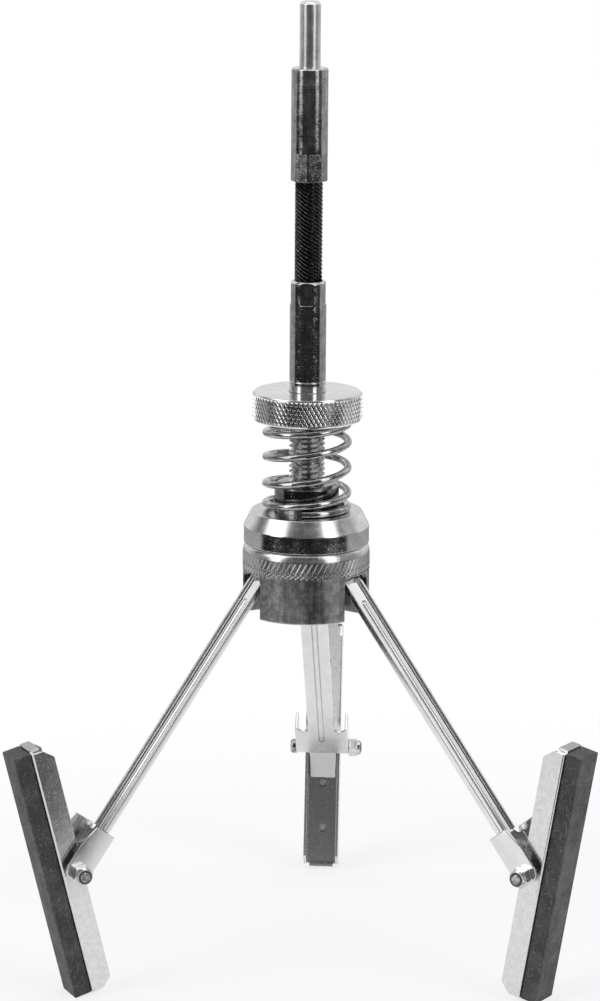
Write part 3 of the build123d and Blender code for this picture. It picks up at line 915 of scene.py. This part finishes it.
def adhesiveDabs(leg):
    # each hole of the holder is filled by a low dome on the stone's back
    dabs = []
    size, thick = dab["radius"], holder["back"] - holder["floor"]
    dome = [(size * share, thick + rise) for share, rise in dab["dome"]]
    for at in holder["holes"]:
        piece = turned(f"dab_{leg}", [*dome, (size, dab["skirt"]), (size, 0.0), (0, 0.0)], dab["sides"])
        spot = (holder["back"] * mm, 0, (holder["middle"] + at) * mm)
        piece.data.transform(holderPlace(leg) @ Matrix.Translation(spot) @ Matrix.Rotation(-pi / 2, 4, "Y"))
        dabs.append(piece)
    piece = joined(dabs, f"adhesive_{leg}")
    smooth(piece, angle=50)
    return piece


stone = {"round": 0.25, "sharp": 20, "outward": 0.3, "endward": 0.8}


def wornAndLitOnStone(middle, facing):
    # the working face and the ends, which are lighter: partly worn by use, and partly painted light
    # standing in for the light that falls on these faces
    return facing.x > stone["outward"] or abs(facing.z) > stone["endward"]


for leg in legs:
    intoArm, intoHolder = armPlace(leg).inverted(), holderPlace(leg).inverted()
    piece = finished(pressedArm(leg), finishes["arm"], f"{leg}_arm", f"arm_{leg}")
    repainted(piece, finishes["armInner"], insideArm, intoArm)
    repainted(piece, finishes["armBend"], shadedOnArm, intoArm)
    piece = dressed(f"pivot_bolt_{leg}", f"pivotBolt_{leg}", bolt["round"], segments=3)
    finished(piece, finishes["bolt"], f"{leg}_arm", f"pivot_bolt_{leg}")
    piece = dressed(f"pivot_nut_{leg}", f"lockNut_{leg}")
    finished(piece, finishes["lockNut"], f"{leg}_arm", f"pivot_nut_{leg}")
    finished(nylonRing(leg), finishes["nylon"], f"{leg}_arm")
    piece = dressed(f"stone_holder_{leg}", f"foldedHolder_{leg}")
    finished(piece, finishes["holder"], f"{leg}_holder", f"stone_holder_{leg}")
    repainted(piece, finishes["holderInside"], onChannelFloor, intoHolder)
    finished(adhesiveDabs(leg), finishes["adhesive"], f"{leg}_holder")
    piece = dressed(f"stone_{leg}", f"abrasive_{leg}", stone["round"], stone["sharp"])
    finished(piece, finishes["stone"], f"{leg}_holder", f"stone_{leg}")
    repainted(piece, finishes["stoneGround"], wornAndLitOnStone, intoHolder)
    pin = cadNodes[f"arm_pin_{leg}"]
    pin.data.materials.clear()
    pin.data.materials.append(finishes["satin"])
print("arms, bolts, holders and stones made")


# Floor: a disc under the three lowest corners. The camera sees it white, with a little shade near the hone,
# and the metal also sees a dark card on it. Sizes are in metres, but the gap under the feet is in mm

table = {"radius": 0.50, "sides": 96, "under": 0.05, "clearFrom": 0.16, "clearTo": 0.36, "paint": 0.85,
         "shade": 0.25, "card": 0.02, "cardLeft": (0.0, 0.05), "cardNear": (0.131, 0.143),
         "cardSlant": 0.5}


def plainGrey(level):
    return (level, level, level, 1)


def floorFinish():
    finish = Finish("paleFloor")
    rays = finish.node("ShaderNodeLightPath").socket.node.outputs
    glossy = Wire(finish, rays["Is Glossy Ray"])
    seen = Wire(finish, rays["Is Camera Ray"]).atLeast(glossy)
    seen = seen.atLeast(Wire(finish, rays["Is Transmission Ray"]))
    away = finish.node("ShaderNodeVectorMath", {"operation": "LENGTH"}, {0: finish.place()}, out=1)
    white = away.between(table["clearFrom"], table["clearTo"], start=1 - table["shade"], end=1.0)
    x, y = finish.axes(finish.place())[:2]
    nearEdge = (-y - x * table["cardSlant"]).between(*table["cardNear"])
    card = glossy * x.between(*table["cardLeft"]) * nearEdge
    plain = finish.node("ShaderNodeBsdfDiffuse", None, {"Color": plainGrey(table["paint"])})
    dark = finish.node("ShaderNodeBsdfDiffuse", None, {"Color": plainGrey(table["card"])})
    lit = finish.node("ShaderNodeEmission", None, {"Color": plainGrey(1), "Strength": 1.0})
    paper = finish.node("ShaderNodeMixShader", None, {0: seen * white, 1: plain, 2: lit})
    surface = finish.node("ShaderNodeMixShader", None, {0: card, 1: paper, 2: dark})
    finish.node("ShaderNodeOutputMaterial", None, {"Surface": surface})
    return finish.block


feet = []
for leg in legs:
    corners = [v.co for part in ("stone", "stone_holder") for v in cadNodes[f"{part}_{leg}"].data.vertices]
    feet.append(min(corners, key=lambda corner: corner.z).copy())
up = (feet[1] - feet[0]).cross(feet[2] - feet[0]).normalized()
up = up if up.z > 0 else -up

deselectAll()
bpy.ops.mesh.primitive_circle_add(vertices=table["sides"], radius=table["radius"], fill_type="NGON")
floor = bpy.context.object
floor.name = "studioFloor"
floor.data.transform(Vector((0, 0, 1)).rotation_difference(up).to_matrix().to_4x4())
floor.location = sum(feet, Vector()) / 3 - up * table["under"] * mm
floor.data.materials.append(floorFinish())


# World: a room of soft light, worked out from how far a direction turns away from the camera's side and how
# far it rises. An edge is its angle and its width in degrees, and a level is a strength of light

edges = {"floor": (12, 1.5), "lowSide": (86, 8), "lowBack": (164, 8), "stripIn": (42, 8),
         "stripOut": (62, 8), "midSide": (66, 30), "midRear": (115, 30), "middle": (-5.7, 1.4),
         "wideIn": (40, 14), "wideOutRight": (67, 14), "wideOutLeft": (81, 14), "highRight": (84, 12),
         "highRear": (115, 16), "highBack": (150, 10), "high": (18, 8), "top": (58, 10)}
levels = {"frontLow": 0.035, "frontLowest": 0.006, "sideLow": 0.40, "lowBackLess": 0.22,
          "frontMid": 0.17, "sideMid": 0.18, "rearMid": 0.50, "frontHigh": 0.12, "rightHigh": 0.40,
          "highBackLess": 0.6, "top": 1.3, "strip": 2.4}
halves = 0.05    # radians over which the left half goes over into the right
steepest = 0.9999    # keeps the arcsine off its ends


def past(value, edge, gain=1.0):
    where, width = edges[edge]
    return value.between(radians(where - width / 2), radians(where + width / 2)) * gain


world = Finish("studioWorld", world=True)
x, y, z = world.axes(world.node("ShaderNodeTexCoord", out="Generated"))
turn = x.maths("ARCTAN2", x, -y)
side = abs(turn)
rise = z.maths("ARCSINE", z.upTo(steepest).atLeast(-steepest))
right = turn.between(-halves, halves)

lowLight = levels["frontLow"] - past(-rise, "floor", levels["frontLow"] - levels["frontLowest"])
lowLight = lowLight + past(side, "lowSide", levels["sideLow"])
lowLight = lowLight - past(side, "lowBack", levels["lowBackLess"])
tallStrips = past(side, "stripIn") * (1 - past(side, "stripOut"))
midLight = levels["frontMid"] + past(side, "midSide", levels["sideMid"])
midLight = midLight + past(side, "midRear", levels["rearMid"])
midLight = midLight + tallStrips * levels["strip"]
wideEnds = 1 - right * past(side, "wideOutRight") - (1 - right) * past(side, "wideOutLeft")
highLight = levels["frontHigh"] + past(side, "wideIn") * wideEnds * levels["strip"]
highLight = highLight + past(side, "highRight") * right * levels["rightHigh"]
highLight = highLight + past(side, "highRear") * (1 - right * levels["rightHigh"])
highLight = highLight - past(side, "highBack", levels["highBackLess"])
light = lowLight + past(rise, "middle") * (midLight - lowLight)
light = light + past(rise, "high") * (highLight - light)
light = light + past(rise, "top") * (levels["top"] - light)
straight = world.node("ShaderNodeLightPath")    # its first output, Is Camera Ray
light = light * (1 - straight) + straight
surface = world.node("ShaderNodeBackground", None, {"Color": plainGrey(1), "Strength": light})
world.node("ShaderNodeOutputWorld", None, {"Surface": surface})
bpy.context.scene.world = world.block
print("floor and world made")


# Camera. Its place is in metres, and its lens and sensor are in mm

shot = {"place": (0.1044, -1.3961, 0.1504), "heading": (-0.0764, 0.9971), "pitch": 12.81, "roll": 0.43,
        "lens": 133.03, "sensor": 36.0}
lensData = bpy.data.cameras.new("photoCamera")
lensData.sensor_width = shot["sensor"]
lensData.sensor_fit = "AUTO"
lensData.lens = shot["lens"]
camera = bpy.data.objects.new("photoCamera", lensData)
bpy.context.scene.collection.objects.link(camera)
down = radians(shot["pitch"])
aheadX, aheadY = shot["heading"]
forward = Vector((aheadX * cos(down), aheadY * cos(down), -sin(down))).normalized()
across = forward.cross(Vector((0, 0, 1))).normalized()
above = across.cross(forward)
aim = Matrix((across, above, -forward)).transposed().to_4x4()
roll = Matrix.Rotation(radians(shot["roll"]), 4, "Z")
camera.matrix_world = Matrix.Translation(shot["place"]) @ aim @ roll
bpy.context.scene.camera = camera
bpy.context.scene.view_settings.view_transform = "Standard"

bpy.context.view_layer.update()
print("scene made")
